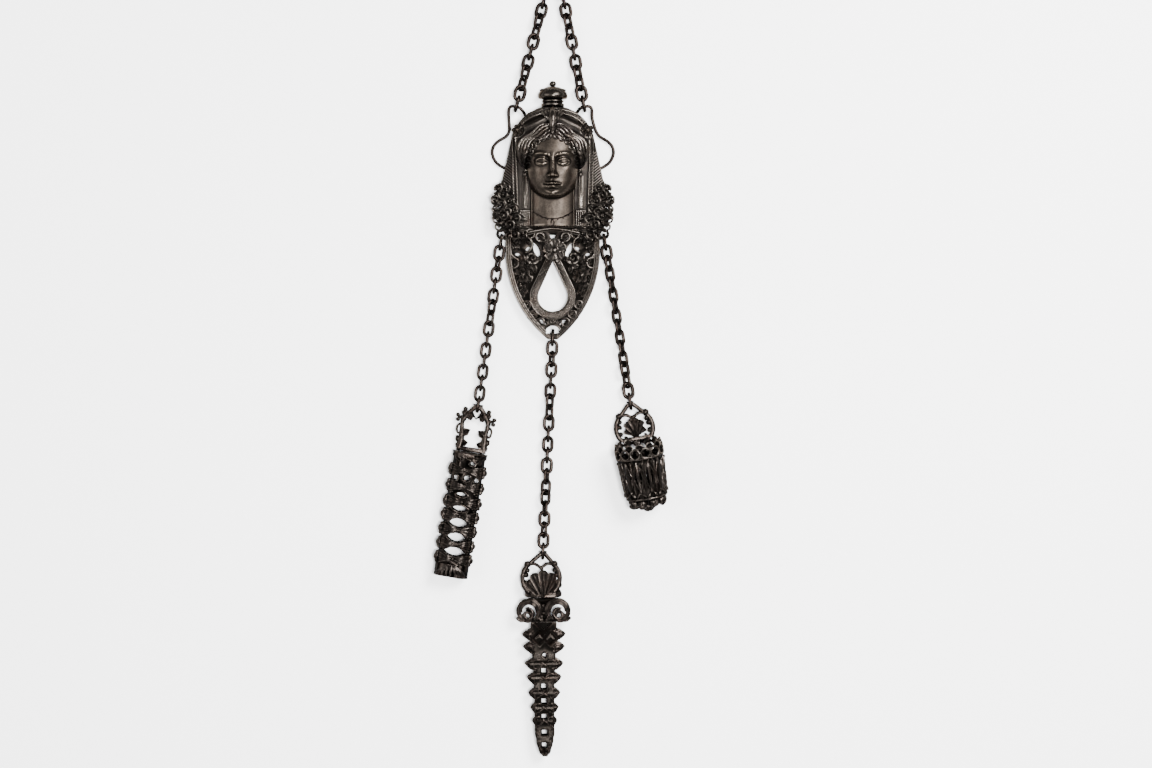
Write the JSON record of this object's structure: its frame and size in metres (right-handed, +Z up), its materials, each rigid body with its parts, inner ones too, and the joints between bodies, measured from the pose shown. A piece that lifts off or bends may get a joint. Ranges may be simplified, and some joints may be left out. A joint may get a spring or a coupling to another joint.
{
  "type": "chatelaine",
  "caption": "Cast metal chatelaine laid flat: head plate with openwork panel, hanging ring, chains, needle case, scissor sheath and thimble bucket.",
  "frame": {"origin": "centre of the bore of the ring that the two top chains hang from", "axes": "+Y from the tools towards the ring, +X to the right as seen from the front, +Z up out of the surface it lies on"},
  "size_m": [0.1023, 0.3498, 0.0222],
  "materials": {
    "cast_metal": "dark oxidised silver-white metal, warm grey where worn",
    "wire_metal": "dark oxidised wire, brownish black in the hollows"
  },
  "bodies": {
    "root": {"belt_ring": "wire_metal", "chain_top_left": "wire_metal", "chain_top_right": "wire_metal", "wire_left": "wire_metal", "wire_right": "wire_metal", "crown": "cast_metal", "veil": "cast_metal", "head": "cast_metal", "temple_rosette_left": "cast_metal", "temple_rosette_right": "cast_metal", "earring_left": "cast_metal", "earring_right": "cast_metal", "lappet_left": "cast_metal", "lappet_right": "cast_metal", "spray_left": "cast_metal", "spray_right": "cast_metal", "panel": "cast_metal", "rosette": "cast_metal", "chain_left": "wire_metal", "chain_centre": "wire_metal", "chain_right": "wire_metal", "needle_case": "wire_metal", "needle_crest": "wire_metal", "scissor_sheath": "wire_metal", "sheath_volutes": "wire_metal", "sheath_crest": "wire_metal", "thimble_bucket": "wire_metal", "bucket_crest": "wire_metal"}
  },
  "joints": []
}
